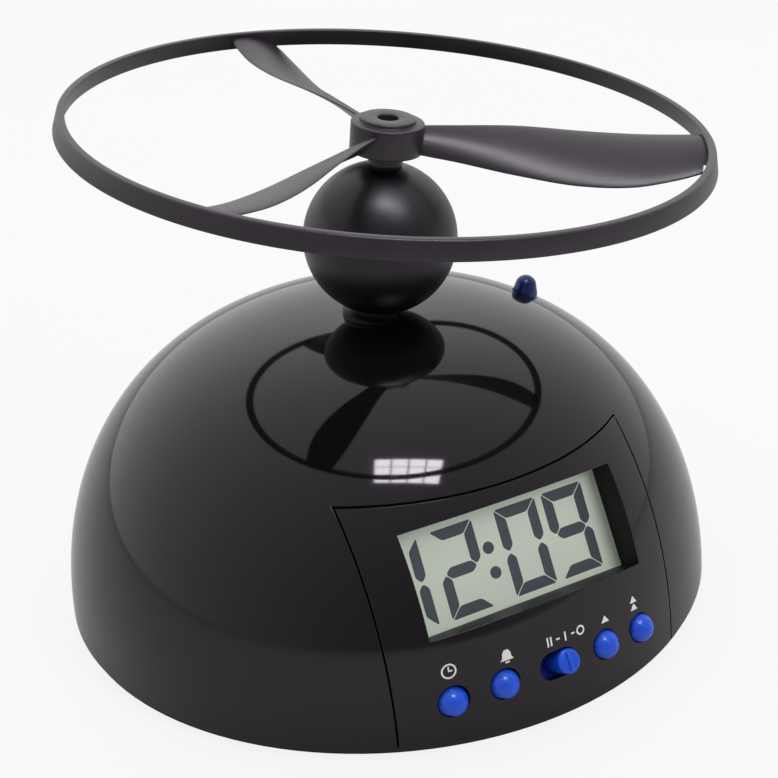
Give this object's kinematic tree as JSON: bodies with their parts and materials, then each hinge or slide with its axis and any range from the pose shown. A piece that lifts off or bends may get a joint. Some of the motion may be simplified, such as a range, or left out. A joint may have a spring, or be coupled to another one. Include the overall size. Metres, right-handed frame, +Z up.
{
  "type": "runaway alarm clock",
  "caption": "Domed table alarm clock whose ringed three-blade rotor is spun up on a ball-topped spindle and lifts off when the alarm sounds.",
  "frame": {"origin": "on the table, under the middle of the dome", "axes": "+Z up, front (display) faces -Y, +X to the right seen from the front"},
  "size_m": [0.132, 0.1337, 0.1073],
  "materials": {
    "dome_gloss": "glossy moulded",
    "button_blue": "glossy moulded",
    "rotor_black": "satin moulded",
    "ball_black": "fine satin",
    "base_black": "fine texture",
    "display": "pale grey-green liquid crystal",
    "carrier": "moulded",
    "strip": "layered elastomer",
    "board": "solder mask",
    "switch_black": "moulded",
    "steel": "plated",
    "feet": "soft",
    "cell": "plain sleeve",
    "contact": "nickel plated",
    "brass": "turned",
    "gear_white": "natural acetal",
    "motor_can": "drawn can"
  },
  "bodies": {
    "clock_body": {"dome_housing": "dome_gloss", "front_fascia": "dome_gloss", "lcd_glass": "display", "lcd_frame": "carrier", "contact_strip": "strip", "main_board": "board", "key_switches": "switch_black", "slide_switch": "steel", "board_screws": "steel", "launch_board": "board", "launch_switch": "switch_black", "base_cover": "base_black", "base_screws": "steel", "rubber_feet": "feet", "battery_cells": "cell", "battery_contacts": "contact", "buzzer": "brass", "neck": "ball_black", "ball": "ball_black", "spindle_bushes": "brass", "upper_plate": "base_black", "lower_plate": "base_black", "launcher_screws": "steel", "idler_pin": "steel", "motor": "motor_can"},
    "time_button": {"time_button": "button_blue"},
    "alarm_button": {"alarm_button": "button_blue"},
    "hour_button": {"hour_button": "button_blue"},
    "minute_button": {"minute_button": "button_blue"},
    "mode_knob": {"mode_knob": "button_blue"},
    "launch_button": {"launch_button": "button_blue"},
    "battery_door": {"battery_door": "base_black"},
    "spindle": {"spindle_shaft": "steel", "spindle_gear": "gear_white", "drive_dog": "ball_black"},
    "idler": {"idler_gear": "gear_white"},
    "motor_armature": {"motor_shaft": "steel", "motor_pinion": "brass"},
    "rotor": {"rotor": "rotor_black"}
  },
  "joints": [
    {"name": "spindle_spin", "type": "hinge", "parent": "clock_body", "child": "spindle", "pos_m": [0, -0.0034, 0.06], "axis": [0.1029, -0.0804, 0.9914], "continuous": true},
    {"name": "idler_spin", "type": "hinge", "parent": "clock_body", "child": "idler", "pos_m": [-0.00149, 0.01081, 0.04618], "axis": [0.1029, -0.0804, 0.9914], "continuous": true},
    {"name": "motor_spin", "type": "hinge", "parent": "clock_body", "child": "motor_armature", "pos_m": [-0.01141, 0.01653, 0.04767], "axis": [0.1029, -0.0804, 0.9914], "continuous": true},
    {"name": "rotor_lift", "type": "slide", "parent": "spindle", "child": "rotor", "axis": [0.1029, -0.0804, 0.9914], "range_m": [0, 0.12]},
    {"name": "time_press", "type": "slide", "parent": "clock_body", "child": "time_button", "axis": [0, 0.8746, -0.4848], "range_m": [0, 0.0005], "stiffness_N_per_m": 2000},
    {"name": "alarm_press", "type": "slide", "parent": "clock_body", "child": "alarm_button", "axis": [0, 0.8746, -0.4848], "range_m": [0, 0.0005], "stiffness_N_per_m": 2000},
    {"name": "hour_press", "type": "slide", "parent": "clock_body", "child": "hour_button", "axis": [0, 0.8746, -0.4848], "range_m": [0, 0.0005], "stiffness_N_per_m": 2000},
    {"name": "minute_press", "type": "slide", "parent": "clock_body", "child": "minute_button", "axis": [0, 0.8746, -0.4848], "range_m": [0, 0.0005], "stiffness_N_per_m": 2000},
    {"name": "mode_slide", "type": "slide", "parent": "clock_body", "child": "mode_knob", "axis": [-1, 0, 0], "range_m": [0, 0.003]},
    {"name": "launch_press", "type": "slide", "parent": "clock_body", "child": "launch_button", "axis": [-0.1736, 0, -0.9848], "range_m": [0, 0.0005], "stiffness_N_per_m": 2000},
    {"name": "battery_door_open", "type": "hinge", "parent": "clock_body", "child": "battery_door", "pos_m": [0, 0.04055, 0.0023], "axis": [1, 0, 0], "range_deg": [0, 90]}
  ],
  "couplings": [
    {"joint": "idler_spin", "follows": "spindle_spin", "ratio": -3.3333},
    {"joint": "motor_spin", "follows": "spindle_spin", "ratio": 12}
  ]
}
